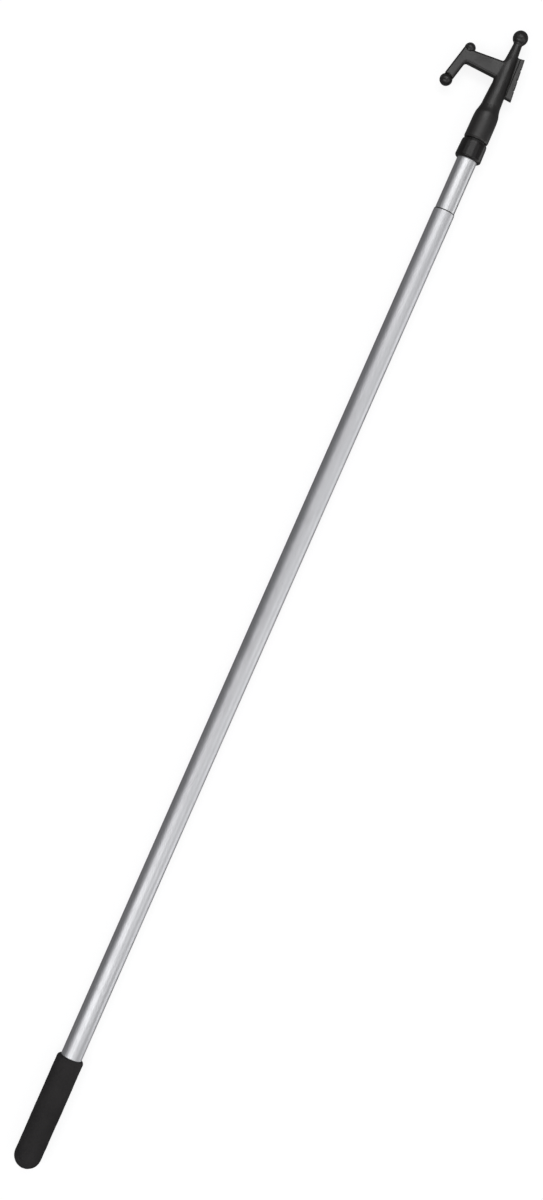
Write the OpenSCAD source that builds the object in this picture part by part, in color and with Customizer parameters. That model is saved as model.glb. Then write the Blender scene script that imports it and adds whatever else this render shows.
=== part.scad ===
// Telescoping boat hook: a two-section aluminium pole with an internal cam lock,
// a closed-end foam grip and a moulded hook head.
// The pole lies along X with the hook head at +X. The hook arm points to +Y, +Z is up.
// The origin is on the pole's axis, at the middle of the bare outer tube.
// Places along the pole are counted from the closed end of the grip.

/* [Outer section] */
// Outside diameter of the outer tube
outer_d = 25.4; // [22:0.1:32]
// Wall of the outer tube
outer_wall = 0.5; // [0.5:0.05:1.2]
// Bare length of the outer tube, from the grip to its mouth
outer_bare = 1055.8; // [700:1:1600]
// Depth of the nylon bush inside the mouth of the outer tube
bush_len = 20; // [10:1:40]
// Wall of the bush
bush_wall = 0.3; // [0.25:0.05:0.6]
// Length of the bush's lip, outside the mouth
bush_lip = 1.1; // [0.8:0.1:3]

/* [Grip and butt] */
// Thickness of the grip's foam over the tube
grip_wall = 3.4; // [2:0.1:8]
// Length of the grip, with its domed end
grip_len = 138.5; // [110:0.5:220]
// Place of the outer tube's lower end inside the grip
tube_start = 10; // [9:0.5:20]
// Depth of the butt plug inside the tube
plug_depth = 20; // [12:1:40]
// Length of the foam buffer on the butt plug
buffer_len = 20; // [10:1:30]

/* [Inner section] */
// Wall of the inner tube
inner_wall = 0.6; // [0.5:0.05:1]
// Length of the inner tube that shows when the pole is closed
inner_bare = 65; // [35:0.1:150]
// Distance from the lower end of the inner tube to its guide ring
guide_up = 80; // [60:1:200]
// Length of the guide ring's groove
guide_len = 6; // [4:0.5:12]
// Depth of the guide ring's groove
guide_depth = 0.75; // [0.6:0.05:1.2]
// Length of each flotation foam
float_len = 200; // [100:5:300]

/* [Cam lock] */
// Depth of the cam plug inside the inner tube
cam_plug_depth = 35; // [20:1:60]
// Thickness of the cam plug's flange
cam_flange_len = 5; // [3:0.5:10]
// Radius of the eccentric post
post_r = 5.5; // [4:0.1:6.5]
// Eccentricity of the post
cam_offset = 1.2; // [0.8:0.05:1.6]
// Length of the cam ring
cam_ring_len = 12; // [8:0.5:20]
// Twist that locks the pole, in degrees each way
lock_twist = 34; // [25:1:50]
// How far the washer stands out over the post, to keep the cam ring on
washer_rim = 2.7; // [2:0.1:3.5]
// Radius of the screw's shank
screw_r = 2.1; // [1.5:0.1:2.5]

/* [Hook head] */
// Length of the collar below the head
collar_len = 22.2; // [18:0.1:45]
// Wall of the collar at its lower end
collar_wall = 3.9; // [2.5:0.1:6]
// How much narrower the collar is at its upper end, in radius
collar_draft = 0.6; // [0:0.1:1]
// Gap between the collar and the head
collar_gap = 1.8; // [0.8:0.1:3]
// How far the head's socket stands out over the inner tube
socket_wall = 2.7; // [2.2:0.1:5]
// Length of the head's socket
socket_len = 33; // [28:0.5:45]
// Length of the head from its mouth to the tip of its ball
head_len = 137; // [120:0.5:180]
// Diameter of the ball on the tip
tip_ball_d = 17.2; // [12:0.1:22]
// Radius of the stem just above the socket
stem_r = 10.4; // [8:0.1:12]
// Radius of the stem's neck below the ball
neck_r = 5.1; // [3.5:0.1:7]
// Distance from the head's mouth to the middle of the arm
arm_up = 85.3; // [70:0.1:90]
// Distance from the pole's axis to the middle of the hook's elbow
arm_reach = 48.5; // [35:0.1:70]
// Width of the arm at the elbow
arm_w = 16.4; // [10:0.1:20]
// How much wider the arm is at the stem, on each side
arm_flare = 2.2; // [0:0.1:4]
// Thickness of the arm and the leg
arm_t = 11.5; // [8:0.5:16]
// Length of the leg, from its elbow nub to its end ball
leg_len = 45.5; // [35:0.1:60]
// Width of the leg
leg_w = 11.6; // [7:0.1:14]
// Angle of the leg away from the pole
leg_splay = 13.8; // [0:0.1:20]
// Diameter of the ball on the end of the leg
leg_ball_d = 14.6; // [10:0.1:18]
// Diameter of the nub on the elbow
nub_d = 12.5; // [9:0.1:15]
// Distance from the head's mouth to the lower end of the rib along its back
rib_up = 57; // [45:0.1:65]
// Length of the rib
rib_len = 49.5; // [30:0.5:55]
// Distance from the pole's axis to the lower corner of the rib
rib_reach = 18.8; // [14:0.1:25]

/* [Clearances] */
// Radial clearance between the inner tube and the bush
tube_clear = 0.08; // [0.03:0.01:0.1]
// Radial clearance of the rings and flanges that slide in a bore or turn on a post
ring_clear = 0.06; // [0.03:0.01:0.1]
// Clearance at the end of each travel
end_clear = 0.6; // [0.3:0.1:1.5]

/* [Hidden] */

$fn = 96;
mesh_fn = 24;
stem_fn = 48;
ball_fn = 28;
past = 1;

// Radii of the tubes, and what fits them
outer_r = outer_d / 2;
bore_r = outer_r - outer_wall;
bush_bore_r = bore_r - bush_wall;
inner_r = bush_bore_r - tube_clear;
inner_bore_r = inner_r - inner_wall;
slide_r = bore_r - ring_clear;

// Places along the outer section
mouth_x = grip_len + outer_bare;
bush_x = mouth_x - bush_len;
lip = 0.25;
plug_top = tube_start + plug_depth;
plug_head_len = 2.5;
plug_head_r = outer_r - 0.8;
grip_r = outer_r + grip_wall;
buffer_top = plug_top + buffer_len;
groove_len = 2;
groove_depth = 0.2;
origin_x = grip_len + outer_bare / 2;

// Places along the cam lock, from the buffer upwards
screw_head_len = 3;
screw_head_r = 4.2;
washer_r = post_r + washer_rim;
washer_len = 1.5;
ring_gap = 0.2;
screw_x = buffer_top + end_clear;
washer_x = screw_x + screw_head_len;
post_x = washer_x + washer_len;
flange_x = post_x + cam_ring_len + 2 * ring_gap;
tube_low = flange_x + cam_flange_len;
cam_plug_top = tube_low + cam_plug_depth;
pin_x = tube_low + cam_plug_depth / 2;
pin_r = 1.5;
screw_len = 22;

// The ring stops just short of the bore wall when the post has turned through lock_twist
lock_gap = 0.05;
cam_ring_r = bore_r - lock_gap - 2 * cam_offset * sin(lock_twist / 2);

// Guide ring, floats and the top of the inner tube
guide_x = tube_low + guide_up;
guide_floor_r = inner_r - guide_depth;
guide_side_gap = 0.1;
guide_split = 1.4;
collar_x = mouth_x + inner_bare;
collar_top = collar_x + collar_len;
head_x = collar_top + collar_gap;
tube_top = collar_top;
adapter_depth = 40;
adapter_low = tube_top - adapter_depth;
adapter_post_r = inner_bore_r - 2.6;
adapter_post_len = 24;
float_gap = 2;
rivet_x = collar_x + collar_len / 2;
rivet_r = 1.6;
rivet_head_r = 2.8;
rivet_head_len = 0.9;
rivet_depth = 7;
head_screw_x = head_x + 14;
head_screw_r = 1.5;
head_screw_head_r = 3;
head_screw_seat = 2.6;

// Hook head
collar_r = inner_r + collar_wall;
socket_r = inner_r + socket_wall;
tip_r = tip_ball_d / 2;
tip_x = head_x + head_len - tip_r;
arm_x = head_x + arm_up;
arm_edge_r = 2.8;
arm_fillet = 3;
nub_rise = 9.8;
leg_dir = [-cos(leg_splay), sin(leg_splay)];
nub_at = [arm_x + nub_rise, arm_reach];
leg_end_at = nub_at + leg_len * leg_dir;
rib_x = head_x + rib_up;

// The pole slides until the guide ring meets the bush
slide_travel = bush_x - guide_x - guide_len / 2 - end_clear;
echo(slide_travel = slide_travel, bare_tube = mouth_x - lip - grip_len);

// Places a shape drawn along +Z so that it runs along the pole from x
module along(x) {
    translate([x - origin_x, 0, 0]) rotate([0, 90, 0]) children();
}

// A solid of revolution about the pole's axis, from [radius, place along the pole] points
module turned(profile) {
    along(0) rotate_extrude() polygon(profile);
}

// A round bar along the pole
module rod(x0, x1, r) {
    along(x0) cylinder(h = x1 - x0, r = r);
}

// A tube along the pole
module sleeve(x0, x1, outside, inside) {
    difference() {
        rod(x0, x1, outside);
        rod(x0 - past, x1 + past, inside);
    }
}

module outer_tube() {
    color("silver") turned([
        [bore_r, tube_start],
        [outer_r, tube_start],
        [outer_r, grip_len - groove_len],
        [outer_r - groove_depth, grip_len - groove_len],
        [outer_r - groove_depth, grip_len],
        [outer_r, grip_len],
        [outer_r, mouth_x - lip],
        [outer_r - lip, mouth_x],
        [bore_r, mouth_x]
    ]);
}

// Bonded in the mouth of the outer tube, where it guides the inner tube and stops the guide ring
module mouth_bush() {
    lip_r = outer_r - lip;
    color([0.1, 0.1, 0.1]) turned([
        [bush_bore_r, bush_x],
        [bore_r, bush_x],
        [bore_r, mouth_x],
        [lip_r, mouth_x],
        [lip_r, mouth_x + bush_lip / 2],
        [lip_r - lip, mouth_x + bush_lip],
        [bush_bore_r, mouth_x + bush_lip]
    ]);
}

module butt_plug() {
    color("dimgray") difference() {
        union() {
            rod(tube_start - plug_head_len, tube_start, plug_head_r);
            rod(tube_start, plug_top, bore_r);
        }
        // Moulding hollow, open towards the pole
        rod(tube_start + 3, plug_top + past, bore_r - 2.5);
    }
}

module butt_buffer() {
    color("gainsboro") rod(plug_top, buffer_top, bore_r);
}

module grip() {
    edge_r = 5;
    color([0.16, 0.155, 0.15]) difference() {
        union() {
            along(grip_r) sphere(r = grip_r);
            rod(grip_r, grip_len - edge_r, grip_r);
            // Rounded top rim
            along(grip_len - edge_r) rotate_extrude() intersection() {
                square([grip_r, edge_r]);
                union() {
                    square([grip_r - edge_r, edge_r]);
                    translate([grip_r - edge_r, 0]) circle(r = edge_r);
                }
            }
        }
        rod(tube_start - plug_head_len, tube_start, plug_head_r);
        rod(tube_start, grip_len - groove_len, outer_r);
        rod(grip_len - groove_len - past, grip_len + past, outer_r - groove_depth);
    }
}

module guide_ring() {
    low = guide_x - guide_len / 2 + guide_side_gap;
    high = guide_x + guide_len / 2 - guide_side_gap;
    color("white") difference() {
        sleeve(low, high, slide_r, guide_floor_r + ring_clear);
        // The split lets the ring spring into its groove
        along(low - past) translate([0, -guide_split / 2, 0]) cube([bore_r * 2, guide_split, guide_len + 2 * past]);
    }
}

module inner_tube() {
    low = guide_x - guide_len / 2;
    high = guide_x + guide_len / 2;
    color("silver") difference() {
        turned([
            [inner_bore_r, tube_low],
            [inner_r, tube_low],
            [inner_r, low],
            [guide_floor_r, low],
            [guide_floor_r, high],
            [inner_r, high],
            [inner_r, tube_top],
            [inner_bore_r, tube_top],
            [inner_bore_r, high + inner_wall],
            [guide_floor_r - inner_wall, high + inner_wall],
            [guide_floor_r - inner_wall, low - inner_wall],
            [inner_bore_r, low - inner_wall]
        ]);
        rivet_pair(rivet_r, inner_bore_r - past, inner_r + past);
        cross_hole(pin_x, pin_r);
    }
}

module upper_float() {
    top = adapter_low - float_gap;
    color("gainsboro") rod(top - float_len, top, inner_bore_r);
}

module lower_float() {
    low = guide_x + guide_len / 2 + inner_wall + float_gap;
    color("gainsboro") rod(low, low + float_len, inner_bore_r);
}

module cam_plug() {
    color("dimgray") difference() {
        union() {
            rod(tube_low, cam_plug_top, inner_bore_r);
            rod(flange_x, tube_low, slide_r);
            translate([0, cam_offset, 0]) rod(post_x, flange_x, post_r);
        }
        translate([0, cam_offset, 0]) rod(post_x - past, washer_x + screw_len, screw_r);
        cross_hole(pin_x, pin_r);
    }
}

// A hole right across the inner section, along Z
module cross_hole(x, r) {
    translate([x - origin_x, 0, 0]) cylinder(h = 2 * (inner_r + past), r = r, center = true);
}

module cam_plug_pin() {
    color("silver") intersection() {
        cross_hole(pin_x, pin_r);
        rod(tube_low, cam_plug_top, inner_r);
    }
}

module cam_ring() {
    low = post_x + ring_gap;
    color("ivory") difference() {
        rod(low, low + cam_ring_len, cam_ring_r);
        translate([0, cam_offset, 0]) rod(low - past, low + cam_ring_len + past, post_r + ring_clear);
    }
}

module cam_washer() {
    color("silver") translate([0, cam_offset, 0]) sleeve(washer_x, post_x, washer_r, screw_r);
}

module cam_screw() {
    slot_w = 1.2;
    slot_depth = 1.5;
    color("silver") translate([0, cam_offset, 0]) difference() {
        union() {
            rod(screw_x, washer_x, screw_head_r);
            rod(washer_x, washer_x + screw_len, screw_r);
        }
        // Cross recess
        for (turn = [0, 90])
            along(screw_x - past) rotate([0, 0, turn])
                translate([-screw_r, -slot_w / 2, 0]) cube([2 * screw_r, slot_w, past + slot_depth]);
    }
}

// The stretch that a rivet or its hole takes, on both sides of the pole, along Y
module rivet_pair(r, from, to) {
    for (side = [-1, 1])
        translate([rivet_x - origin_x, side * from, 0]) rotate([-side * 90, 0, 0])
            cylinder(h = to - from, r = r);
}

module head_adapter() {
    color("dimgray") difference() {
        union() {
            rod(adapter_low, tube_top, inner_bore_r);
            rod(tube_top, head_x, inner_r);
            rod(head_x, head_x + adapter_post_len, adapter_post_r);
        }
        rivet_pair(rivet_r, inner_bore_r - rivet_depth, inner_bore_r + past);
        head_screw_shape();
    }
}

module adapter_rivets() {
    color("silver") {
        rivet_pair(rivet_r, inner_bore_r - rivet_depth, inner_r + rivet_head_len);
        rivet_pair(rivet_head_r, inner_r, inner_r + rivet_head_len);
    }
}

module head_collar() {
    edge_r = 3.2;
    rim = 0.7;
    top_r = collar_r - collar_draft;
    key_gap = 0.08;
    key_r = norm([inner_r + rivet_head_len, rivet_head_r]) + key_gap;
    key_w = 2 * rivet_head_r + 0.6;
    color([0.17, 0.16, 0.16]) difference() {
        union() {
            along(collar_x + edge_r) cylinder(h = collar_len - edge_r - rim, r1 = collar_r, r2 = top_r);
            along(collar_top - rim) cylinder(h = rim, r1 = top_r, r2 = top_r - rim);
            // Rounded lower edge
            along(collar_x) rotate_extrude() union() {
                square([collar_r - edge_r, edge_r]);
                intersection() {
                    translate([collar_r - edge_r, edge_r]) circle(r = edge_r);
                    square([collar_r, edge_r]);
                }
            }
        }
        rod(collar_x - past, collar_top + past, inner_r);
        // Keyways that pass over the rivet heads
        intersection() {
            rod(rivet_x - key_w / 2, collar_top + past, key_r);
            translate([rivet_x - key_w / 2 - origin_x, -collar_r, -key_w / 2])
                cube([collar_len, 2 * collar_r, key_w]);
        }
    }
}

// The screw that holds the head on its adapter, from below
module head_screw_shape(grow = 0) {
    translate([head_screw_x - origin_x, 0, 0]) {
        translate([0, 0, -socket_r]) cylinder(h = socket_r, r = head_screw_r + grow);
        translate([0, 0, -socket_r - past]) cylinder(h = past + head_screw_seat, r = head_screw_head_r + grow);
    }
}

module head_screw() {
    shaft_end = 4;
    sink = 1;
    slot_w = 0.9;
    color("silver") difference() {
        translate([head_screw_x - origin_x, 0, 0]) {
            translate([0, 0, -socket_r + sink]) cylinder(h = socket_r - sink - shaft_end, r = head_screw_r);
            translate([0, 0, -socket_r + sink]) cylinder(h = head_screw_seat - sink, r = head_screw_head_r);
        }
        for (turn = [0, 90])
            translate([head_screw_x - origin_x, 0, -socket_r]) rotate([0, 0, turn])
                cube([2 * head_screw_r + slot_w, slot_w, 2 * (sink + slot_w)], center = true);
    }
}

// A ball at a point in the plane of the hook
module ball(at, d) {
    translate([at[0] - origin_x, at[1], 0]) sphere(d = d, $fn = ball_fn);
}

// The round stem of the head, as [place from the head's mouth, radius] stations
module head_stem() {
    bevel = 0.8;
    root = socket_len + 10;
    stem = head_len - tip_ball_d - root;
    stations = [
        [0, socket_r - bevel],
        [bevel, socket_r],
        [socket_len - 6, socket_r - 0.3],
        [socket_len, socket_r - 0.8],
        [socket_len + 5, (socket_r + stem_r) / 2 - 0.2],
        [root, stem_r + 0.8],
        [root + 0.2 * stem, stem_r],
        [root + 0.42 * stem, stem_r - 1.3],
        [root + 0.81 * stem, neck_r + 1.2],
        [root + stem, neck_r],
        [head_len - tip_r, neck_r]
    ];
    for (i = [0 : len(stations) - 2]) {
        hull() {
            along(head_x + stations[i][0]) cylinder(h = 0.01, r = stations[i][1], $fn = stem_fn);
            along(head_x + stations[i + 1][0]) cylinder(h = 0.01, r = stations[i + 1][1], $fn = stem_fn);
        }
    }
}

// Outline of the arm and the leg in the plane of the hook, with filleted inside corners
module hook_outline() {
    low = arm_x - arm_w / 2;
    high = arm_x + arm_w / 2;
    low_side = stem_r - 1.1;
    high_side = neck_r + 2.2;
    tail = 20;
    crest = 9;
    offset(r = -arm_fillet, $fn = mesh_fn * 2) offset(delta = arm_fillet) {
        polygon([
            [low - tail, 0],
            [high + crest, 0],
            [high + crest, high_side - 2],
            [high + arm_flare, high_side],
            [high, nub_at[1] - nub_d / 2],
            [high, nub_at[1]],
            [low - 1, nub_at[1] + 2],
            [low, nub_at[1] - leg_w / 4],
            [low - arm_flare, low_side],
            [low - tail, low_side]
        ]);
        hull() {
            translate(nub_at + 2 * leg_dir) circle(d = leg_w);
            translate(leg_end_at - leg_w / 2 * leg_dir) circle(d = leg_w);
        }
    }
}

// The arm and the leg, a flat plate with rounded edges
module hook_plate() {
    translate([-origin_x, 0, 0]) minkowski() {
        translate([0, 0, arm_edge_r - arm_t / 2]) linear_extrude(arm_t - 2 * arm_edge_r)
            offset(delta = -arm_edge_r) hook_outline();
        sphere(r = arm_edge_r, $fn = mesh_fn / 2);
    }
}

// The rib along the back: a thin web with a thicker, notched strip on its edge
module back_rib() {
    strip_w = [8, 4.5];
    strip_t = 8.4;
    web_t = 4;
    drop = 4.5;
    notch = 0.9;
    draft = 0.8;
    low = [rib_x - origin_x, -rib_reach];
    high = [rib_x + rib_len - origin_x, drop - rib_reach];
    translate([0, 0, -web_t / 2]) linear_extrude(web_t) polygon([
        [low[0], 0], low + [0, past], high + [0, past], [high[0], 0]
    ]);
    translate([0, 0, -strip_t / 2]) linear_extrude(strip_t) difference() {
        polygon([low, low + [draft, strip_w[0]], high + [-draft, strip_w[1]], high]);
        // Moulding notches along the outer edge
        for (part = [0.25, 0.5, 0.75])
            translate(low + part * (high - low)) circle(r = notch, $fn = mesh_fn);
    }
}

module hook_head() {
    $fn = stem_fn;
    color([0.19, 0.185, 0.18]) difference() {
        union() {
            head_stem();
            hook_plate();
            back_rib();
            ball([tip_x, 0], tip_ball_d);
            ball(nub_at, nub_d);
            ball(leg_end_at, leg_ball_d);
        }
        rod(head_x - past, head_x + adapter_post_len + ring_clear, adapter_post_r + ring_clear);
        head_screw_shape(ring_clear);
    }
}

outer_tube();
mouth_bush();
butt_plug();
butt_buffer();
grip();
guide_ring();
inner_tube();
upper_float();
lower_float();
cam_plug();
cam_plug_pin();
cam_ring();
cam_washer();
cam_screw();
head_adapter();
adapter_rivets();
head_collar();
hook_head();
head_screw();
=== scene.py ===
# %% [markdown]
# # A telescoping boat hook
# This lesson dresses a boat hook: a foam grip with a closed end, two aluminium tubes that slide
# in each other, and a moulded hook head. The engineering model is the frame. It already holds
# every tube, bush, rivet and the cam lock, in metres, with the pole along X and the hook towards
# Y. Loading it first means that nothing has to be fitted by eye: each new piece is made where
# the frame says, and rides on the section of the pole that it belongs to.

# %% Load the frame
import math

import bpy
import numpy as np
from mathutils import Matrix, Vector


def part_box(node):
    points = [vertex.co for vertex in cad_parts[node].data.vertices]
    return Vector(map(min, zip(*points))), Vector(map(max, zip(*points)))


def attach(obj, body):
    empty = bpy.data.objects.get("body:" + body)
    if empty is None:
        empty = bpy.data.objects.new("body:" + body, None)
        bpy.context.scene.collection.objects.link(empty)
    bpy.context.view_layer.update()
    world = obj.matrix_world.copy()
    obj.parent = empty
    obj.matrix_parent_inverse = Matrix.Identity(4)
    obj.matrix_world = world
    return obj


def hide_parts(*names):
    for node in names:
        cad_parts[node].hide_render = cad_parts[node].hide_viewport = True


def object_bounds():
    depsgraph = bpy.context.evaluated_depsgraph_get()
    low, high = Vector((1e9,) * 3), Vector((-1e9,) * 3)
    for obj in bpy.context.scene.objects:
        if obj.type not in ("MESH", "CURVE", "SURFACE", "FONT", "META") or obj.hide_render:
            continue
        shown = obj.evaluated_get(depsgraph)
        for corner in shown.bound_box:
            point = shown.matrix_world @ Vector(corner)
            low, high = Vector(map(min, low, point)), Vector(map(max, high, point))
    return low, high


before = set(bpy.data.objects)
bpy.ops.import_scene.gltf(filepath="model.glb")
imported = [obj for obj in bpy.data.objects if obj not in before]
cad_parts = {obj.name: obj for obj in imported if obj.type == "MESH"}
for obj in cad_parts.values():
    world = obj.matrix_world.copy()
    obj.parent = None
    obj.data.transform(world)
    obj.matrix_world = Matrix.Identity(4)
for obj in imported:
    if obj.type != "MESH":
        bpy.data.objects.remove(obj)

cad_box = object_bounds()
print("pieces in the frame:", len(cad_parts))

# %% [markdown]
# ## Places along the pole
# A maker marks the stations on the bar before cutting anything. Here they are read from the
# frame's own pieces: where the grip ends, where the outer tube's mouth is, where the head's
# socket begins and how wide each of them is. If a size changes in the engineering model, every
# piece below follows it.

# %% Mark the stations
MM = 0.001
MM_PER_M = 1000.0

grip_low, grip_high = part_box("grip")
tube_low, tube_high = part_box("outer_tube")
head_low, head_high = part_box("hook_head")
collar_low, collar_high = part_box("head_collar")

tube_r = tube_high.z
grip_r = grip_high.z
mouth_x = tube_high.x
head_x = head_low.x
middle_x = (cad_box[0].x + cad_box[1].x) / 2
floor_z = cad_box[0].z
for name, x in (("grip end", grip_low.x), ("grip rim", grip_high.x), ("tube mouth", mouth_x),
                ("head mouth", head_x), ("tip", head_high.x)):
    print(f"{name}: {x / MM:.1f} mm")

# %% [markdown]
# ## The camera
# A long, thin thing is shown best from straight above, a little more than its own length away,
# so that both ends are seen from slightly inside: the grip's rim from above and the head's
# collar from below. The pole leans across the frame, with the hook at the top right and its arm
# pointing left, which fills a tall picture. Only the camera is turned; the pole stays on X.

# %% Set the camera
CAMERA_HEIGHT = 2.25
LENS_MM = 59.0
LEAN = math.radians(23.81)
CAMERA_BACK = 1.3 * MM
CAMERA_ASIDE = 1.5 * MM

camera_data = bpy.data.cameras.new("studio_camera")
camera_data.lens = LENS_MM
camera_data.clip_end = 60
camera = bpy.data.objects.new("studio_camera", camera_data)
bpy.context.scene.collection.objects.link(camera)
right = Vector((math.sin(LEAN), -math.cos(LEAN), 0))
up = Vector((math.cos(LEAN), math.sin(LEAN), 0))
camera.matrix_world = Matrix.Translation(
    (middle_x - CAMERA_BACK, CAMERA_ASIDE, CAMERA_HEIGHT)) @ Matrix(
    (right, up, (0, 0, 1))).transposed().to_4x4()
bpy.context.scene.camera = camera
print(f"camera {CAMERA_HEIGHT} m up, over x = {middle_x / MM:.0f} mm")

# %% [markdown]
# ## Small tools for shaders
# Every finish below is a handful of nodes, and a few short helpers keep them readable. They join
# or set a socket, add a node, do a sum, stretch a band of values to a mask, blend two colours,
# and make or place a shared group. An input may be a plain number, a colour or another node's
# output.

# %% Helpers that add nodes
def wire(tree, socket, value):
    """Joins an output to a socket, or sets the socket to a plain value."""
    if isinstance(value, bpy.types.NodeSocket):
        tree.links.new(value, socket)
    elif isinstance(value, (tuple, list)) and len(value) == 3 and socket.type == "RGBA":
        socket.default_value = (*value, 1)
    else:
        socket.default_value = value


def add(tree, kind, inputs=(), **settings):
    """A node of this kind. Inputs is a list of (name or number, value)."""
    node = tree.nodes.new(kind)
    for name, value in settings.items():
        setattr(node, name, value)
    for name, value in dict(inputs).items():
        wire(tree, node.inputs[name], value)
    return node


def calc(tree, operation, *values, clamp=False):
    """The result of a sum on one, two or three values."""
    node = add(tree, "ShaderNodeMath", enumerate(values), operation=operation, use_clamp=clamp)
    return node.outputs[0]


def band(tree, value, low, high):
    """0 below low, 1 above high, and smooth between."""
    node = add(tree, "ShaderNodeMapRange", (
        ("Value", value), ("From Min", low), ("From Max", high)), interpolation_type="SMOOTHSTEP")
    return node.outputs["Result"]


def blend_colours(tree, share, first, second):
    """The first colour where share is 0 and the second where it is 1."""
    node = tree.nodes.new("ShaderNodeMix")
    node.data_type = "RGBA"
    wire(tree, node.inputs[0], share)
    wire(tree, node.inputs[6], first)
    wire(tree, node.inputs[7], second)
    return node.outputs[2]


def group_tree(name, inputs, outputs):
    """An empty shader group with named number sockets: its tree, what comes in, what goes out."""
    tree = bpy.data.node_groups.new(name, "ShaderNodeTree")
    for label, value in inputs:
        socket = tree.interface.new_socket(label, in_out="INPUT", socket_type="NodeSocketFloat")
        socket.default_value = value
    for label in outputs:
        tree.interface.new_socket(label, in_out="OUTPUT", socket_type="NodeSocketFloat")
    return tree, tree.nodes.new("NodeGroupInput").outputs, tree.nodes.new("NodeGroupOutput").inputs


def place(tree, group, **values):
    """Puts a shader group in a tree with its own values and returns its outputs."""
    node = tree.nodes.new("ShaderNodeGroup")
    node.node_tree = group
    for label, value in values.items():
        wire(tree, node.inputs[label], value)
    return node.outputs


print("node helpers ready")

# %% [markdown]
# ## Fine grain
# Moulded plastic, foam and etched metal are never mirror smooth: the tool or the acid leaves a
# fine grain. One group makes it for all of them. Its Size is the grain's size in millimetres.
# Height is for a bump, and Tone is a slow, cloudy change that varies colour and gloss. Noise in
# the object's own coordinates is used, so there is nothing to unwrap and nothing slides.

# %% Build the fine grain group
grain_group, grain_in, grain_out = group_tree("fine_grain", [("Size", 0.4)], ["Height", "Tone"])
g_place = add(grain_group, "ShaderNodeTexCoord").outputs["Object"]
g_scale = calc(grain_group, "DIVIDE", MM_PER_M, grain_in["Size"])
g_fine = add(grain_group, "ShaderNodeTexNoise", (
    ("Vector", g_place), ("Scale", g_scale), ("Detail", 3.0), ("Roughness", 0.6)))
g_cells = add(grain_group, "ShaderNodeTexVoronoi", (
    ("Vector", g_place), ("Scale", calc(grain_group, "MULTIPLY", g_scale, 0.7))))
g_cloud = add(grain_group, "ShaderNodeTexNoise", (
    ("Vector", g_place), ("Scale", calc(grain_group, "MULTIPLY", g_scale, 0.018)),
    ("Detail", 4.0)))
wire(grain_group, grain_out["Height"], calc(
    grain_group, "MULTIPLY_ADD", g_cells.outputs["Distance"], 0.5, g_fine.outputs[0]))
wire(grain_group, grain_out["Tone"], band(grain_group, g_cloud.outputs[0], 0.3, 0.7))
print("fine_grain:", len(grain_group.nodes), "nodes")

# %% [markdown]
# ## Drawn lines
# A tube is pulled through a die, and a screw is turned from bar. Both leave fine parallel lines.
# The group squeezes noise so that it is long in one direction and thin across it. Along is how
# long a line runs and Across is how wide it is, in millimetres.

# %% Build the drawn lines group
lines_group, lines_in, lines_out = group_tree(
    "drawn_lines", [("Along", 90.0), ("Across", 0.35)], ["Height", "Tone"])
l_place = add(lines_group, "ShaderNodeTexCoord").outputs["Object"]
l_across = calc(lines_group, "DIVIDE", MM_PER_M, lines_in["Across"])
l_along = calc(lines_group, "DIVIDE", MM_PER_M, lines_in["Along"])
l_scale = add(lines_group, "ShaderNodeCombineXYZ", (
    ("X", l_along), ("Y", l_across), ("Z", l_across)))
l_squeeze = add(lines_group, "ShaderNodeVectorMath", (
    (0, l_place), (1, l_scale.outputs[0])), operation="MULTIPLY")
l_lines = add(lines_group, "ShaderNodeTexNoise", (
    ("Vector", l_squeeze.outputs[0]), ("Scale", 1.0), ("Detail", 4.0), ("Roughness", 0.65)))
l_wide = add(lines_group, "ShaderNodeTexNoise", (
    ("Vector", l_squeeze.outputs[0]), ("Scale", 0.16), ("Detail", 2.0)))
wire(lines_group, lines_out["Height"], l_lines.outputs[0])
wire(lines_group, lines_out["Tone"], band(lines_group, l_wide.outputs[0], 0.35, 0.65))
print("drawn_lines:", len(lines_group.nodes), "nodes")

# %% [markdown]
# ## Marks of use
# Hands leave faint smudges, and decks and cleats leave short scratches. Smudges are broad
# clouds. Scratches are thin threads where a stretched, bent noise passes its middle value, and
# they only show inside patches, because an object is never scratched evenly.

# %% Build the marks group
marks_group, marks_in, marks_out = group_tree(
    "handling_marks", [("Size", 30.0)], ["Smudges", "Scratches"])
m_place = add(marks_group, "ShaderNodeTexCoord").outputs["Object"]
m_scale = calc(marks_group, "DIVIDE", MM_PER_M, marks_in["Size"])
m_cloud = add(marks_group, "ShaderNodeTexNoise", (
    ("Vector", m_place), ("Scale", m_scale), ("Detail", 5.0), ("Distortion", 0.6)))
m_turn = add(marks_group, "ShaderNodeMapping", (
    ("Vector", m_place), ("Rotation", (0.5, 0.4, 0.7)), ("Scale", (1.0, 9.0, 6.0))))
m_thread = add(marks_group, "ShaderNodeTexNoise", (
    ("Vector", m_turn.outputs[0]), ("Scale", calc(marks_group, "MULTIPLY", m_scale, 1.6)),
    ("Detail", 1.0), ("Distortion", 0.4)))
m_patch = add(marks_group, "ShaderNodeTexNoise", (
    ("Vector", m_place), ("Scale", calc(marks_group, "MULTIPLY", m_scale, 0.7)), ("Detail", 2.0)))
m_near = calc(marks_group, "ABSOLUTE", calc(marks_group, "SUBTRACT", m_thread.outputs[0], 0.5))
m_line = calc(marks_group, "SUBTRACT", 1.0, band(marks_group, m_near, 0.002, 0.009))
wire(marks_group, marks_out["Smudges"], band(marks_group, m_cloud.outputs[0], 0.42, 0.66))
wire(marks_group, marks_out["Scratches"], calc(
    marks_group, "MULTIPLY", m_line, band(marks_group, m_patch.outputs[0], 0.5, 0.62)))
print("handling_marks:", len(marks_group.nodes), "nodes")

# %% [markdown]
# ## Rubbed edges
# Corners are what a hook meets first, so they are polished and paler than the flats. The group
# takes a mask of where the edges are, which each mesh carries, and breaks it up with noise.

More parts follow.
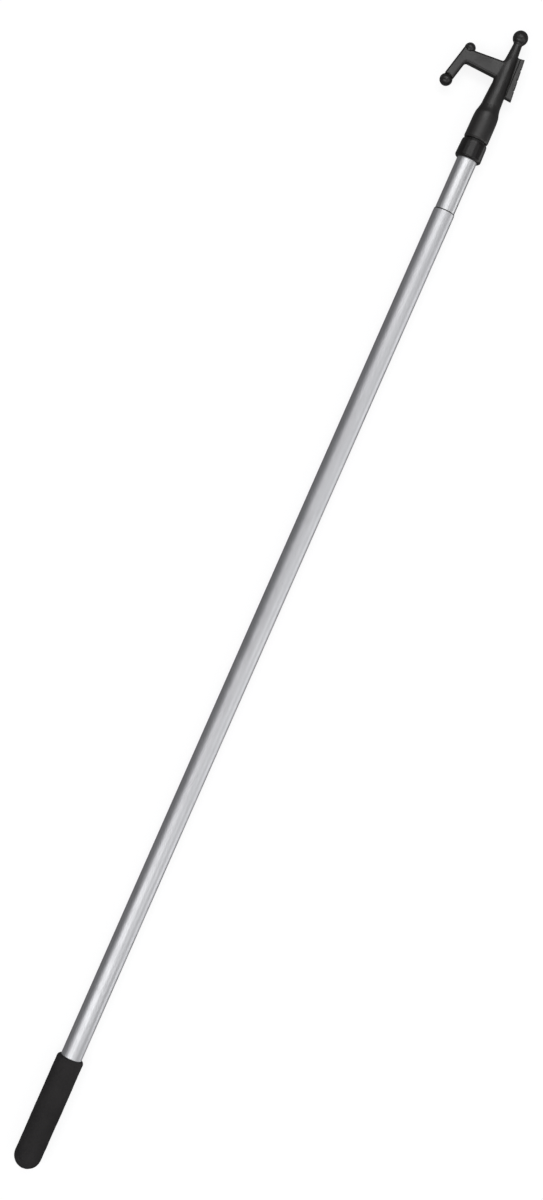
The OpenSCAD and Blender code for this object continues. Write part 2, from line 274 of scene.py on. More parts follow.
# %% Build the rubbed edge group
rub_group, rub_in, rub_out = group_tree("edge_rub", [("Edge", 0.0), ("Size", 3.0)], ["Rub"])
r_place = add(rub_group, "ShaderNodeTexCoord").outputs["Object"]
r_noise = add(rub_group, "ShaderNodeTexNoise", (
    ("Vector", r_place), ("Scale", calc(rub_group, "DIVIDE", MM_PER_M, rub_in["Size"])),
    ("Detail", 5.0)))
r_sum = calc(rub_group, "ADD", rub_in["Edge"], calc(rub_group, "SUBTRACT", r_noise.outputs[0], 0.5))
wire(rub_group, rub_out["Rub"], band(rub_group, r_sum, 0.45, 0.95))
print("edge_rub:", len(rub_group.nodes), "nodes")

# %% [markdown]
# ## A base for every finish
# Each finish is one Principled shader. Plain values, such as metalness or the index of
# refraction, are set on the shader itself; only what changes over the surface comes through
# nodes.

# %% Helper that starts a finish
def finish_base(name, **plain):
    """A new material, its tree and its Principled shader with these plain values set."""
    material = bpy.data.materials.new(name)
    material.use_nodes = True
    tree = material.node_tree
    shader = tree.nodes["Principled BSDF"]
    for label, value in plain.items():
        shader.inputs[label.replace("_", " ")].default_value = value
    return material, tree, shader


def bump(tree, shader, height, depth):
    """A bump of this depth in metres, on the shader's normal."""
    node = add(tree, "ShaderNodeBump", (("Strength", 1.0), ("Distance", depth), ("Height", height)))
    wire(tree, shader.inputs["Normal"], node.outputs[0])


def vary(tree, value, amount, middle):
    """A value that swings by amount round its middle, as value goes from 0 to 1."""
    return calc(tree, "MULTIPLY_ADD", value, amount, middle - amount / 2)


print("finish helpers ready")

# %% [markdown]
# ## Satin anodised tube
# The tubes are drawn aluminium, etched and clear anodised. That is a bright metal with a broad,
# soft shine: fine lines run along it, the tone drifts slightly, and it carries a few scuffs. The
# inner tube slides through a bush, so it is given more lengthwise rubbing than the outer one.

# %% Make the anodised finishes
def anodised(name, rub, tone=(0.70, 0.705, 0.725)):
    """Drawn and anodised aluminium. Rub is how strongly sliding has marked it."""
    material, tree, shader = finish_base(name, Metallic=1.0)
    lines = place(tree, lines_group, Along=140.0, Across=0.3)
    grain = place(tree, grain_group, Size=0.35)
    marks = place(tree, marks_group, Size=55.0)
    slides = place(tree, lines_group, Along=320.0, Across=1.1)
    worn = calc(tree, "MULTIPLY", slides["Tone"], rub)
    dull = tuple(c * 0.86 for c in tone)
    colour = blend_colours(tree, calc(tree, "MULTIPLY", lines["Height"], 0.5), tone, dull)
    scratched = calc(tree, "MULTIPLY", marks["Scratches"], 0.35)
    colour = blend_colours(tree, scratched, colour, (0.5, 0.5, 0.51))
    wire(tree, shader.inputs["Base Color"], colour)
    rough = vary(tree, grain["Tone"], 0.05, 0.40)
    rough = calc(tree, "MULTIPLY_ADD", lines["Tone"], 0.04, rough)
    rough = calc(tree, "MULTIPLY_ADD", marks["Smudges"], 0.05, rough)
    wire(tree, shader.inputs["Roughness"], calc(tree, "MULTIPLY_ADD", worn, -0.1, rough))
    height = calc(tree, "MULTIPLY_ADD", grain["Height"], 0.5, lines["Height"])
    bump(tree, shader, calc(tree, "MULTIPLY_ADD", marks["Scratches"], -1.2, height), 0.012 * MM)
    return material


outer_finish = anodised("outer_anodised", 0.3)
inner_finish = anodised("inner_anodised", 1.0, (0.72, 0.725, 0.74))
print("anodised finishes:", outer_finish.name, inner_finish.name)

# %% [markdown]
# ## Moulded plastics
# The head, collar, bush and plugs are moulded nylon. They share one recipe and differ in colour,
# gloss and grain: a fine spark-eroded grain, cloudy gloss, a few scratches, and paler edges where
# the mesh carries an edge mask: rubbed wear on the head, and on the collar's rim a painted
# highlight.

# %% Make the moulded finishes
def moulded(name, colour, rough, grain_mm, depth, edges=False, ior=1.5):
    """Moulded plastic. With edges, the edge mask shows rubbed corners, and on the collar a painted
    highlight.
    """
    material, tree, shader = finish_base(name, Metallic=0.0, IOR=ior)
    grain = place(tree, grain_group, Size=grain_mm)
    marks = place(tree, marks_group, Size=16.0)
    dark = tuple(c * 0.8 for c in colour)
    pale = tuple(min(1.0, c * 1.6 + 0.012) for c in colour)
    shade = blend_colours(tree, grain["Tone"], dark, colour)
    shade = blend_colours(tree, calc(tree, "MULTIPLY", marks["Scratches"], 0.3), shade, pale)
    gloss = vary(tree, grain["Tone"], 0.08, rough)
    gloss = calc(tree, "MULTIPLY_ADD", marks["Smudges"], 0.06, gloss)
    if edges:
        wear_and_sheen_mask = add(tree, "ShaderNodeAttribute", attribute_name="edge").outputs["Fac"]
        rub = place(tree, rub_group, Edge=wear_and_sheen_mask, Size=2.4)["Rub"]
        shade = blend_colours(tree, calc(tree, "MULTIPLY", rub, 0.35), shade, pale)
        gloss = calc(tree, "MULTIPLY_ADD", rub, -0.08, gloss)
    wire(tree, shader.inputs["Base Color"], shade)
    wire(tree, shader.inputs["Roughness"], gloss)
    bump(tree, shader, calc(tree, "MULTIPLY_ADD", marks["Scratches"], -0.5, grain["Height"]), depth)
    return material


head_finish = moulded(
    "head_nylon", (0.020, 0.0187, 0.0182), 0.31, 0.45, 0.045 * MM, edges=True)
collar_finish = moulded(
    "collar_gloss", (0.012, 0.011, 0.011), 0.21, 0.3, 0.012 * MM, edges=True, ior=1.4)
bush_finish = moulded("black_nylon", (0.014, 0.014, 0.014), 0.45, 0.4, 0.02 * MM)
plug_finish = moulded("grey_plug", (0.2, 0.2, 0.21), 0.5, 0.5, 0.03 * MM)
ring_finish = moulded("natural_nylon", (0.78, 0.76, 0.69), 0.42, 0.4, 0.02 * MM)
print("moulded finishes: head, collar, bush, plug, ring")

# %% [markdown]
# ## Foams and steel
# The grip is soft black foam, so it hardly shines at all and shows a fine open grain. The floats
# inside the tube are the same kind of foam in white with larger beads. Pins, rivets and screws
# are stainless steel with turning marks.

# %% Make the foam and steel finishes
def foam(name, colour, grain_mm, depth):
    """Closed-cell foam: very matte, with small cells and a little dust in them."""
    material, tree, shader = finish_base(name, Metallic=0.0, IOR=1.35)
    grain = place(tree, grain_group, Size=grain_mm)
    marks = place(tree, marks_group, Size=24.0)
    dark = tuple(c * 0.75 for c in colour)
    pale = tuple(min(1.0, c * 1.25 + 0.004) for c in colour)
    shade = blend_colours(tree, grain["Tone"], dark, colour)
    shade = blend_colours(tree, calc(tree, "MULTIPLY", marks["Smudges"], 0.4), shade, pale)
    wire(tree, shader.inputs["Base Color"], shade)
    wire(tree, shader.inputs["Roughness"], vary(tree, marks["Smudges"], 0.1, 0.82))
    bump(tree, shader, grain["Height"], depth)
    return material


grip_finish = foam("grip_foam", (0.0235, 0.022, 0.0225), 0.7, 0.26 * MM)
float_finish = foam("float_foam", (0.82, 0.83, 0.84), 2.2, 0.3 * MM)

steel_finish, s_tree, s_shader = finish_base("stainless", Metallic=1.0)
s_lines = place(s_tree, lines_group, Along=0.25, Across=6.0)
s_marks = place(s_tree, marks_group, Size=8.0)
wire(s_tree, s_shader.inputs["Base Color"], blend_colours(
    s_tree, s_marks["Smudges"], (0.62, 0.62, 0.63), (0.5, 0.5, 0.5)))
wire(s_tree, s_shader.inputs["Roughness"], vary(s_tree, s_lines["Tone"], 0.1, 0.3))
bump(s_tree, s_shader, s_lines["Height"], 0.01 * MM)
print("foam and steel finishes ready")

# %% [markdown]
# ## Dress the engineering pieces
# Most pieces of the frame already have the right shape, because they are turned or drawn. They
# only need their finish, which goes on the object's own material slots.

# %% Put the finishes on the frame's pieces
FINISHES = {
    "outer_tube": outer_finish, "inner_tube": inner_finish, "mouth_bush": bush_finish,
    "head_adapter": bush_finish, "butt_plug": plug_finish, "cam_plug": plug_finish,
    "guide_ring": ring_finish, "cam_ring": ring_finish, "butt_buffer": float_finish,
    "upper_float": float_finish, "lower_float": float_finish, "cam_plug_pin": steel_finish,
    "cam_washer": steel_finish, "cam_screw": steel_finish, "adapter_rivets": steel_finish,
    "head_screw": steel_finish,
}
for node, material in FINISHES.items():
    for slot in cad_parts[node].material_slots:
        slot.link = "OBJECT"
        slot.material = material
print("dressed", len(FINISHES), "pieces")

# %% [markdown]
# ## From arrays to a mesh
# The grip, the collar and the head below are worked out as arrays of points and faces. One
# helper turns such arrays into a smooth-shaded object in metres, gives it its finish and lets it
# ride. Two more store a mask on the mesh and make the slow waves that keep a surface from
# looking machined.

# %% Helper that makes a piece
def make_piece(name, points, faces, material, body, replaced):
    """A smooth mesh from points in metres, which rides on body and stands for a node."""
    mesh = bpy.data.meshes.new(name)
    mesh.from_pydata(points.tolist(), [], faces)
    mesh.validate()
    mesh.shade_smooth()
    mesh.materials.append(material)
    piece = bpy.data.objects.new(name, mesh)
    bpy.context.scene.collection.objects.link(piece)
    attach(piece, body)
    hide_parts(replaced)
    print(f"{name}: {len(points)} points, {len(faces)} faces")
    return piece


def tag(piece, name, values):
    """Stores one number for each point of the mesh, for a material to read."""
    layer = piece.data.attributes.new(name, "FLOAT", "POINT")
    layer.data.foreach_set("value", values.astype(np.float32))


WAVES = 14


def wobble(points, size, seed):
    """Smooth random numbers of about -1 to 1, from crossed waves of about this size."""
    random = np.random.default_rng(seed)
    total = np.zeros(len(points))
    for _ in range(WAVES):
        direction = random.normal(size=3)
        direction *= random.uniform(0.7, 1.5) * 2 * math.pi / size / np.linalg.norm(direction)
        total += np.sin(points @ direction + random.uniform(0, 2 * math.pi))
    return total / 5


print("mesh helpers ready")

# %% [markdown]
# ## The foam grip
# The grip is a foam sleeve with a closed, domed end, pushed over the tube while wet. It could be
# a plain revolve, but soft foam never stays perfectly straight. So it is a revolve whose outline
# is drawn first: a dome, a long barrel, and a rounded rim that hugs the tube. Then every
# point is pushed in or out a little by slow waves, for dents, and quick ones, for the open skin.

# %% Draw the grip's outline
RIM_ROUND = 4.4 * MM
GRIP_STEP = 0.75 * MM
DOME_RINGS, RIM_RINGS = 34, 12


def grip_outline():
    """Points (x, radius) from the middle of the dome to where the rim meets the tube."""
    dome = [(grip_low.x + grip_r * (1 - math.cos(a)), grip_r * math.sin(a))
            for a in np.linspace(0, math.pi / 2, DOME_RINGS)]
    straight_end = grip_high.x - RIM_ROUND
    barrel = [(x, grip_r) for x in np.arange(dome[-1][0] + GRIP_STEP, straight_end, GRIP_STEP)]
    turn = [(straight_end + RIM_ROUND * math.sin(a), grip_r - RIM_ROUND * (1 - math.cos(a)))
            for a in np.linspace(0, math.pi / 2, RIM_RINGS)]
    rim = [p for p in turn if p[1] > tube_r - 0.15 * MM]
    return dome + barrel + rim + [(rim[-1][0] - 1.2 * MM, tube_r - 0.2 * MM)]


outline = np.array(grip_outline())
print("grip outline:", len(outline), "rings")

# %% [markdown]
# The outline is swept round the axis. The first point is on the axis, so it becomes one point
# with a fan of triangles; all other rings are joined by four-sided faces. The collar below uses
# the same helper with its outline closed into a loop.

# %% Sweep the grip and roughen it
def sweep(profile, around, loop=False):
    """Points and faces of a profile turned about X. A first point on the axis becomes a fan."""
    has_tip = profile[0, 1] == 0
    rings = profile[1:] if has_tip else profile
    angles = np.arange(around) * 2 * math.pi / around
    x = np.repeat(rings[:, 0], around)
    radius = np.repeat(rings[:, 1], around)
    turn = np.tile(angles, len(rings))
    points = np.column_stack([x, radius * np.cos(turn), radius * np.sin(turn)])
    count = len(rings)
    faces = [(r * around + i, (r + 1) % count * around + i,
              (r + 1) % count * around + (i + 1) % around, r * around + (i + 1) % around)
             for r in range(count if loop else count - 1) for i in range(around)]
    if has_tip:
        faces += [(len(points), i, (i + 1) % around) for i in range(around)]
        points = np.vstack([points, [profile[0, 0], 0, 0]])
    return points, faces


GRIP_AROUND = 132
DENTS_MM = ((0.16, 46, 3), (0.07, 9, 4), (0.045, 2.6, 5))  # depth, size, seed
GRIP_INSET = 0.05 * MM
grip_points, grip_faces = sweep(outline, GRIP_AROUND)
outward = grip_points * (0, 1, 1)
outward[:, 0] = np.minimum(0, grip_points[:, 0] - (grip_low.x + grip_r))
outward /= np.maximum(np.linalg.norm(outward, axis=1, keepdims=True), 1e-9)
depth = sum(deep * wobble(grip_points, size * MM, seed) for deep, size, seed in DENTS_MM) * MM
fade = np.clip((grip_high.x - 0.5 * MM - grip_points[:, 0]) / (3 * MM), 0.1, 1)
grip_points += outward * ((depth - GRIP_INSET) * fade)[:, None]
grip = make_piece(
    "foam_grip", grip_points, grip_faces, grip_finish, "outer_section", "grip")

# %% [markdown]
# ## The collar
# The collar is a short glossy ring that hides the rivets. It narrows a little towards the head,
# its lower edge is well rounded so that it doesn't catch a hand, and a small round on its upper
# rim draws one bright line of light, which a painted highlight along the rim makes paler still.
# The loop runs up the outside and back down the bore.

# %% Turn the collar
COLLAR_DRAFT = 0.6 * MM
COLLAR_EDGE = 3.2 * MM
COLLAR_RIM = 0.9 * MM
COLLAR_CROWN = 2.6 * MM
CROWN_ROUND = 20 * MM
COLLAR_AROUND = 144
collar_r = collar_high.z
collar_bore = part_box("inner_tube")[1].z


def corner(x, radius, size, start, stop, count):
    """Points (x, radius) on a round corner of this size about a point."""
    return [(x - size * math.cos(a), radius + size * math.sin(a))
            for a in np.linspace(start, stop, count)]


def wall_radius(x):
    """The collar's radius at x: a straight draft, then a gentle crown towards the upper rim."""
    part = (x - collar_low.x) / (collar_high.x - collar_low.x)
    crown = max(0.0, x - (collar_high.x - COLLAR_RIM - COLLAR_CROWN))
    return collar_r - COLLAR_DRAFT * part - crown ** 2 / CROWN_ROUND


collar_wall = [(x, wall_radius(x))
               for x in np.linspace(collar_low.x + COLLAR_EDGE, collar_high.x - COLLAR_RIM, 30)]
lower_round = corner(collar_low.x + COLLAR_EDGE, collar_r - COLLAR_EDGE, COLLAR_EDGE,
                     0, math.pi / 2, 14)
upper_round = corner(collar_high.x - COLLAR_RIM, collar_wall[-1][1] - COLLAR_RIM, COLLAR_RIM,
                     math.pi / 2, math.pi, 8)
collar_outline = np.array(
    [(collar_low.x, r) for r in np.linspace(collar_bore, collar_r - COLLAR_EDGE, 4)[:-1]]
    + lower_round[:-1] + collar_wall + upper_round[1:]
    + [(collar_high.x, collar_bore + 0.5 * MM), (collar_high.x - 0.5 * MM, collar_bore)])
collar_points, collar_faces = sweep(collar_outline, COLLAR_AROUND, loop=True)
collar_ways = collar_points * (0, 1, 1)
collar_ways /= np.linalg.norm(collar_ways, axis=1, keepdims=True)
collar_points += collar_ways * (0.03 * MM * wobble(collar_points, 14 * MM, 21))[:, None]
collar = make_piece("gloss_collar", collar_points, collar_faces, collar_finish, "inner_section",
                    "head_collar")
# A band by the upper rim is painted paler: a painted highlight along the rim, with a little rubbed
# wear.
rim_highlight_distance = np.abs(collar_points[:, 0] - collar_high.x + 0.3 * MM) / MM
tag(collar, "edge", np.clip(1.3 - rim_highlight_distance, 0, 1))
print(f"collar from {collar_low.x / MM:.1f} to {collar_high.x / MM:.1f} mm")

# %% [markdown]
# ## The hook head as one moulding
# The head is a single nylon casting: a socket, a tapering stem with a ball on its tip, a flat arm
# and leg that make the hook, and a ribbed strip along the back. What makes a moulding look real
# is that every shape flows into the next with a soft fillet. Modelling each fillet by hand is
# slow. A distance field gives them for free: for any point in space it says how far it is from
# each shape, and a smooth minimum of those distances melts the shapes together.

# %% Distance helpers
def melt(a, b, size):
    """Joins two fields with a fillet of about this size."""
    share = np.clip(0.5 + 0.5 * (b - a) / size, 0, 1)
    return b * (1 - share) + a * share - size * share * (1 - share)


def carve(a, b, size):
    """Removes b from a, with a corner softened by about this size."""
    return -melt(-a, b, size)


def ball(p, centre, radius):
    """Distance to a ball."""
    return np.sqrt((p[0] - centre[0]) ** 2 + (p[1] - centre[1]) ** 2
                   + (p[2] - centre[2]) ** 2) - radius


def bar(p, start, end, radius):
    """Distance to a round bar between two points in the plane of the hook."""
    along = np.array(end) - np.array(start)
    share = ((p[0] - start[0]) * along[0] + (p[1] - start[1]) * along[1]) / (along @ along)
    share = np.clip(share, 0, 1)
    return np.sqrt((p[0] - start[0] - share * along[0]) ** 2
                   + (p[1] - start[1] - share * along[1]) ** 2 + p[2] ** 2) - radius


def outline_distance(x, y, corners):
    """Distance to a closed outline in the plane, negative inside it."""
    near = np.full(np.shape(x), 1e9)
    inside = np.zeros(np.shape(x), bool)
    for (x0, y0), (x1, y1) in zip(corners, corners[1:] + corners[:1]):
        ex, ey = x1 - x0, y1 - y0
        share = np.clip(((x - x0) * ex + (y - y0) * ey) / (ex * ex + ey * ey), 0, 1)
        near = np.minimum(near, (x - x0 - share * ex) ** 2 + (y - y0 - share * ey) ** 2)
        crosses = (y0 > y) != (y1 > y)
        inside ^= crosses & (x < ex * (y - y0) / (ey if ey else 1e-9) + x0)
    return np.where(inside, -1, 1) * np.sqrt(near)


def slab(flat, z, half, rounding):
    """A plate of this half thickness from a distance in its plane, with rounded edges."""
    a, b = flat + rounding, np.abs(z) - half + rounding
    return (np.minimum(np.maximum(a, b), 0)
            + np.hypot(np.maximum(a, 0), np.maximum(b, 0)) - rounding)


print("distance helpers ready")

# %% [markdown]
# Each part of the head gets its own short function, in millimetres from the head's mouth. The
# stem is round, so its field only needs a radius for each place along it. The arm and the leg are
# one flat plate. The balls at both ends of the leg sit behind a small neck.

# %% The stem and its socket
STEM = np.array([
    (0, 13.8), (0.9, 14.52), (27, 14.22), (33, 13.7), (38, 12.2), (43, 11.2), (48, 11.0),
    (58.4, 10.3), (75.3, 9.1), (105.2, 6.3), (119.8, 5.1), (131, 5.1)])
STEM_END = 127.5
TIP = (128.3, 0.3, 0)
TIP_R, TIP_FILLET = 8.85, 1.6
END_ROUND = 0.8
STEM_STEP, STEM_SOFT = 0.25, 0.9
steps = np.arange(-6, 138, STEM_STEP)
soft = np.exp(-0.5 * (np.arange(-12, 13) * STEM_STEP / STEM_SOFT) ** 2)
stem_radii = np.convolve(np.interp(steps, *STEM.T), soft / soft.sum(), "same")


def stem(p):
    """The socket and the stem, closed at both ends, with the ball on the tip."""
    around = np.hypot(p[1], p[2]) - np.interp(p[0], steps, stem_radii)
    body = carve(carve(around, p[0], END_ROUND), STEM_END - p[0], END_ROUND)
    return melt(body, ball(p, TIP, TIP_R), TIP_FILLET)


print(f"stem radius from {stem_radii[40:-60].min():.1f} to {stem_radii.max():.1f} mm")

# %% The arm, the leg and their balls
NUB = np.array((95.1, 48.5))
LEG_DIRECTION = np.array((-0.9711, 0.2385))
LEG_END = NUB + 45.5 * LEG_DIRECTION
LEG_HALF = 5.8
PLATE_HALF = 5.75
PLATE_ROUND, ELBOW_FILLET = 3.0, 2.6
NUB_R, LEG_BALL_R = 6.25, 7.3
NECK_R, NECK_LEN, NECK_GAP = 4.7, 9, 1.0
ARM_CORNERS = [(57, 0), (102.5, 0), (95.9, 7.3), (93.5, 42.3), (93.5, 48.5),
               (76.1, 50.5), (77.1, 45.6), (74.9, 9.0), (57, 4)]


def hook_plate(p):
    """The flat arm and leg, cut back round both balls so that each stands on a neck."""
    start = NUB + 2.0 * LEG_DIRECTION
    end = LEG_END - 6.0 * LEG_DIRECTION
    flat_leg = bar((p[0], p[1], 0 * p[0]), start, end, LEG_HALF)
    flat = melt(outline_distance(p[0], p[1], ARM_CORNERS), flat_leg, ELBOW_FILLET)
    plate = slab(flat, p[2], PLATE_HALF, PLATE_ROUND)
    for centre, radius, way in ((NUB, NUB_R, LEG_DIRECTION), (LEG_END, LEG_BALL_R, -LEG_DIRECTION)):
        at = (centre[0], centre[1], 0)
        plate = carve(plate, ball(p, at, radius + NECK_GAP), 0.7)
        plate = melt(plate, bar(p, centre, centre + NECK_LEN * way, NECK_R), 0.8)
        plate = melt(plate, ball(p, at, radius), 0.5)
    return plate


print("leg ends at", np.round(LEG_END, 1))

# %% The ribbed strip along the back
RIB_LOW, RIB_HIGH = np.array((57.0, -18.8)), np.array((106.5, -14.3))
DEEP_LOW, DEEP_HIGH = 8.0, 4.5
STRIP_HALF, WEB_HALF = 4.2, 2.0
STRIP_ROUND, WEB_ROUND, NOTCH_R = 0.9, 0.3, 1.4


def back_rib(p):
    """A thin web with a thicker strip on its edge, notched along the outside."""
    strip_corners = [tuple(RIB_LOW), tuple(RIB_HIGH), tuple(RIB_HIGH + (-0.8, DEEP_HIGH)),
                     tuple(RIB_LOW + (0.8, DEEP_LOW))]
    web_corners = [tuple(RIB_LOW + (0.4, 1)), tuple(RIB_HIGH + (-0.4, 1)),
                   (RIB_HIGH[0] - 0.4, 0), (RIB_LOW[0] + 0.4, 0)]
    strip = slab(outline_distance(p[0], p[1], strip_corners), p[2], STRIP_HALF, STRIP_ROUND)
    web = slab(outline_distance(p[0], p[1], web_corners), p[2], WEB_HALF, WEB_ROUND)
    for part in (0.25, 0.5, 0.75):
        at = RIB_LOW + part * (RIB_HIGH - RIB_LOW)
        notch = np.hypot(p[0] - at[0], p[1] - at[1]) - NOTCH_R
        strip = carve(strip, notch, 0.3)
    return melt(strip, web, 1.2)


print("rib runs from", RIB_LOW, "to", RIB_HIGH)

# %% The whole head
BORE_R, BORE_END = 8.68, 24.06
SCREW_AT, SCREW_HEAD_R, SCREW_SEAT, SCREW_R = 14.0, 3.06, -11.82, 1.56
ARM_FILLET, RIB_FILLET = 3.2, 1.6


def head_field(p):
    """Everything melted together, less the bore for the adapter and the screw's seat."""
    solid = melt(stem(p), hook_plate(p), ARM_FILLET)
    solid = melt(solid, back_rib(p), RIB_FILLET)
    bore = np.maximum(np.hypot(p[1], p[2]) - BORE_R, p[0] - BORE_END)
    across = np.hypot(p[0] - SCREW_AT, p[1])
    seat = np.maximum(across - SCREW_HEAD_R, p[2] - SCREW_SEAT)
    hole = np.maximum(across - SCREW_R, p[2])
    return np.maximum(solid, -np.minimum(bore, np.minimum(seat, hole)))


tip_depth = head_field([np.array([TIP[0]]), np.zeros(1), np.zeros(1)])[0]
print("field at the tip's middle:", round(float(tip_depth), 2))

# %% [markdown]
# ## Give the field a skin
# The field is sampled on a grid of small cells. Wherever the surface passes through a cell, one
# point is put at the middle of the crossings on the cell's edges, and neighbouring points are
# joined by four-sided faces. Each point is then moved down the field's slope until it lies on
# the surface. The result is an even mesh of four-sided faces, close to what a sculptor's remesh
# gives, but the same on every run.

# %% Helper that skins a field
EDGE_WAYS = np.eye(3, dtype=int)


def skin(field, low, high, cell):
    """Points and four-sided faces where the field is zero."""
    counts = np.ceil((np.array(high) - low) / cell).astype(int) + 1
    axes = [low[i] + cell * np.arange(counts[i]) for i in range(3)]
    value = field(np.meshgrid(*axes, indexing="ij"))
    cells = counts - 1
    total = np.zeros((*cells, 3))
    hits = np.zeros(cells)
    for axis, way in enumerate(EDGE_WAYS):
        others = np.delete(EDGE_WAYS, axis, 0)
        for a in (0, 1):
            for b in (0, 1):
                start = a * others[0] + b * others[1]
                first = value[tuple(slice(s, s + c) for s, c in zip(start, cells))]
                stop = start + way
                second = value[tuple(slice(s, s + c) for s, c in zip(stop, cells))]
                crossed = (first < 0) != (second < 0)
                share = np.where(crossed, first / np.where(crossed, first - second, 1), 0)
                for i in range(3):
                    total[..., i] += crossed * (start[i] + share * way[i])
                hits += crossed
    used = hits > 0
    number = np.full(cells, -1)
    number[used] = np.arange(used.sum())
    points = np.array(low) + cell * (np.argwhere(used) + total[used] / hits[used][:, None])
    faces = []
    for axis, way in enumerate(EDGE_WAYS):
        first = value[tuple(slice(0, -1) if i == axis else slice(1, -1) for i in range(3))]
        second = value[tuple(slice(1, None) if i == axis else slice(1, -1) for i in range(3))]
        rising = (first < 0) & (second >= 0)
        falling = (first >= 0) & (second < 0)
        b, c = (axis + 1) % 3, (axis + 2) % 3
        for turned, order in ((rising, ((0, 0), (1, 0), (1, 1), (0, 1))),
                              (falling, ((0, 0), (0, 1), (1, 1), (1, 0)))):
            at = np.argwhere(turned)
            ring = []
            for sb, sc in order:
                index = at.copy()
                index[:, b] += sb
                index[:, c] += sc
                ring.append(number[index[:, 0], index[:, 1], index[:, 2]])
            faces += np.column_stack(ring).tolist()
    return points, faces


def slope(field, points, step=0.05):
    """The field's value and slope at points."""
    def at(q):
        return field([q[:, 0], q[:, 1], q[:, 2]])
    rise = [at(points + step * way) - at(points - step * way) for way in EDGE_WAYS]
    return at(points), np.column_stack(rise) / (2 * step)


def settle(field, points, cell, rounds=3):
    """Moves points down the slope onto the surface, never further than half a cell."""
    for _ in range(rounds):
        value, rise = slope(field, points)
        move = value / np.maximum((rise ** 2).sum(1), 0.2)
        points = points - np.clip(move, -cell / 2, cell / 2)[:, None] * rise
    return points


print("skin helpers ready")

# %% [markdown]
# The plane of the hook is where the mould's two halves meet, so the grid is placed with a row of
# cells exactly astride it. That row of points is then raised a little where the surface stands
# square to the plane: a real parting line. The points also record how sharply the surface bends,
# which the finish uses to rub the edges.

# %% Skin the head
CELL = 0.5
MARGIN = 2
reach_low = np.array((head_low.x - head_x, head_low.y, 0)) / MM - MARGIN
reach_high = np.array((head_high.x - head_x, head_high.y, 0)) / MM + MARGIN
rows = math.ceil((head_high.z / MM + 1.5) / CELL) + 0.5
reach_low[2], reach_high[2] = -rows * CELL, rows * CELL

head_points, head_faces = skin(head_field, reach_low, reach_high, CELL)
head_points = settle(head_field, head_points, CELL)
value, normal = slope(head_field, head_points)
normal /= np.maximum(np.linalg.norm(normal, axis=1, keepdims=True), 1e-6)
print("furthest point from the surface:", round(float(np.abs(value).max()), 3), "mm")

# %% Raise the parting line and find the edges
BEND_STEP, FULL_BEND = 1.1, 0.75
SEAM_RISE, WAVE_RISE = 0.16, 0.035
bend = np.zeros(len(head_points))
for way in EDGE_WAYS:
    step = BEND_STEP * way
    ahead = head_points + step
    behind = head_points - step
    bend += head_field([*ahead.T]) + head_field([*behind.T])
edge = np.clip(bend / BEND_STEP ** 2 / FULL_BEND, 0, 1)

on_seam = np.abs(head_points[:, 2]) < 0.3 * CELL
outside = np.hypot(head_points[:, 1], head_points[:, 2]) > BORE_R + 1
past_mouth = head_points[:, 0] > 1.5
raised = SEAM_RISE * on_seam * outside * (1 - np.abs(normal[:, 2])) * past_mouth
head_points = head_points + normal * raised[:, None]
head_points += normal * (WAVE_RISE * wobble(head_points, 22, 11))[:, None]

head = make_piece("moulded_head", head_points * MM + (head_x, 0, 0), head_faces, head_finish,
                  "inner_section", "hook_head")
tag(head, "edge", edge)
print(f"seam points: {int(on_seam.sum())}, edge share: {edge.mean():.2f}")

# %% [markdown]
# ## The floor
# A plain pale sheet, just under the lowest point of the pole. For the camera it glows faintly,
# like a light table, so that it stays white; the object's own reflections see it darker, which
# keeps the shaded side of the tube and of the black head crisp.

# %% Lay the floor
FLOOR_HALF = 9.0
FLOOR_GAP = 0.2 * MM
floor_mesh = bpy.data.meshes.new("floor")
floor_mesh.from_pydata([(x * FLOOR_HALF, y * FLOOR_HALF, floor_z - FLOOR_GAP)
                        for x, y in ((-1, -1), (1, -1), (1, 1), (-1, 1))], [], [(0, 1, 2, 3)])
floor = bpy.data.objects.new("floor", floor_mesh)
bpy.context.scene.collection.objects.link(floor)
floor_finish, f_tree, f_shader = finish_base("pale_floor", Roughness=0.9)
f_shader.inputs["Base Color"].default_value = (0.24, 0.24, 0.243, 1)
f_shader.inputs["Specular IOR Level"].default_value = 0.1
f_glow = add(f_tree, "ShaderNodeEmission", (("Color", (1, 1, 1)), ("Strength", 0.84)))
f_seen = add(f_tree, "ShaderNodeLightPath").outputs["Is Camera Ray"]
f_none = add(f_tree, "ShaderNodeEmission", (("Color", (0, 0, 0)), ("Strength", 0.0)))
f_pick = add(f_tree, "ShaderNodeMixShader", (
    (0, f_seen), (1, f_none.outputs[0]), (2, f_glow.outputs[0])))
f_sum = add(f_tree, "ShaderNodeAddShader", ((0, f_shader.outputs[0]), (1, f_pick.outputs[0])))
wire(f_tree, f_tree.nodes["Material Output"].inputs["Surface"], f_sum.outputs[0])
floor_mesh.materials.append(floor_finish)
print("floor at", round(floor_z / MM, 2), "mm")

# %% [markdown]
# ## Soft studio light
# A polished tube shows its lights as long bands, so the lights are placed by what each side of
# the tube should see. Two long boxes overhead and one at the right wall make the bright middle
# and right side. Smaller boxes over the head and the grip lift both ends, and one on the left of
# each end gives the round forms a second edge of light. A small glowing card on the floor lights
# the underside of the pole's middle, and the camera doesn't see it. The room itself is dim, so
# that the left flank falls off to grey.

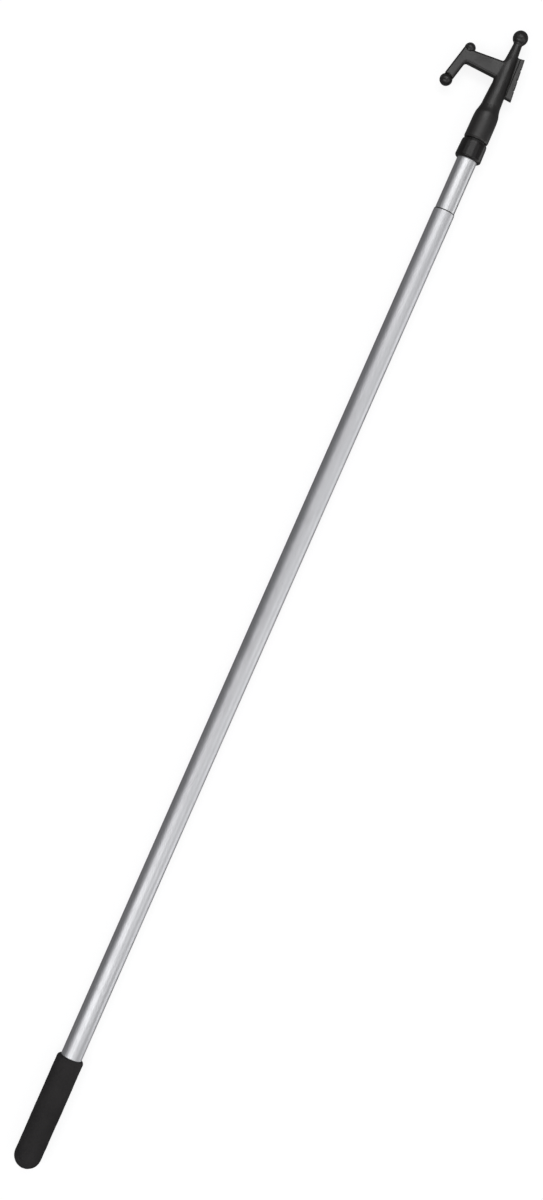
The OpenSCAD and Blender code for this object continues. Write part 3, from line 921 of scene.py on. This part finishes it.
# %% Hang the softboxes
def softbox(name, at, aim, size, glow):
    """A soft rectangular light. Glow is how bright its face is."""
    data = bpy.data.lights.new(name, "AREA")
    data.shape = "RECTANGLE"
    data.size, data.size_y = size
    data.energy = glow * math.pi * size[0] * size[1]
    lamp = bpy.data.objects.new(name, data)
    bpy.context.scene.collection.objects.link(lamp)
    toward = (Vector(aim) - Vector(at)).normalized()
    side = Vector((1, 0, 0))
    lamp.matrix_world = Matrix.Translation(at) @ Matrix(
        (side, (-toward).cross(side), -toward)).transposed().to_4x4()
    return lamp


softbox("overhead_far", (-0.9, -2.9, 2.7), (-0.9, -2.9, 0), (5.2, 1.6), 1.25)
softbox("overhead_near", (0, -1.3, 2.7), (0, -1.3, 0), (7.0, 1.8), 0.44)
softbox("right_wall", (0.1, -3.7, 1.3), (0.1, 0, 1.3), (2.6, 2.6), 0.66)
softbox("over_head", (1.1, 0.65, 2.65), (1.1, 0.65, 0), (0.7, 2.8), 1.1)
softbox("over_hook", (1.95, 0.5, 2.65), (1.95, 0.5, 0), (1.0, 2.6), 2.8)
softbox("left_of_head", (1.75, 2.7, 2.2), (0.7, 0, 0), (1.2, 1.8), 0.62)
softbox("over_grip", (-1.55, 0.85, 2.65), (-1.55, 0.85, 0), (1.9, 3.0), 2.0)
softbox("left_of_grip", (-1.75, 2.7, 2.2), (-0.7, 0, 0), (1.2, 1.8), 0.4)
card = softbox("reflector_card", (0.04, -0.8, floor_z + 0.001), (0.04, -0.8, 1), (1.2, 1.5), 1.1)
card.visible_camera = False

world = bpy.data.worlds.new("studio")
bpy.context.scene.world = world
world.use_nodes = True
w_tree = world.node_tree
w_dim = w_tree.nodes["Background"]
w_dim.inputs["Color"].default_value = (0.14, 0.14, 0.145, 1)
w_pale = add(w_tree, "ShaderNodeBackground", (("Color", (0.95, 0.95, 0.95)), ("Strength", 1.0)))
w_seen = add(w_tree, "ShaderNodeLightPath").outputs["Is Camera Ray"]
w_pick = add(w_tree, "ShaderNodeMixShader", (
    (0, w_seen), (1, w_dim.outputs[0]), (2, w_pale.outputs[0])))
wire(w_tree, w_tree.nodes["World Output"].inputs["Surface"], w_pick.outputs[0])
bpy.context.scene.view_settings.view_transform = "Standard"

# %% [markdown]
# ## The frame's size
# The engineering model's bounds are printed.

# %% Print the frame's size
print("cad", [round(c, 4) for v in cad_box for c in v])
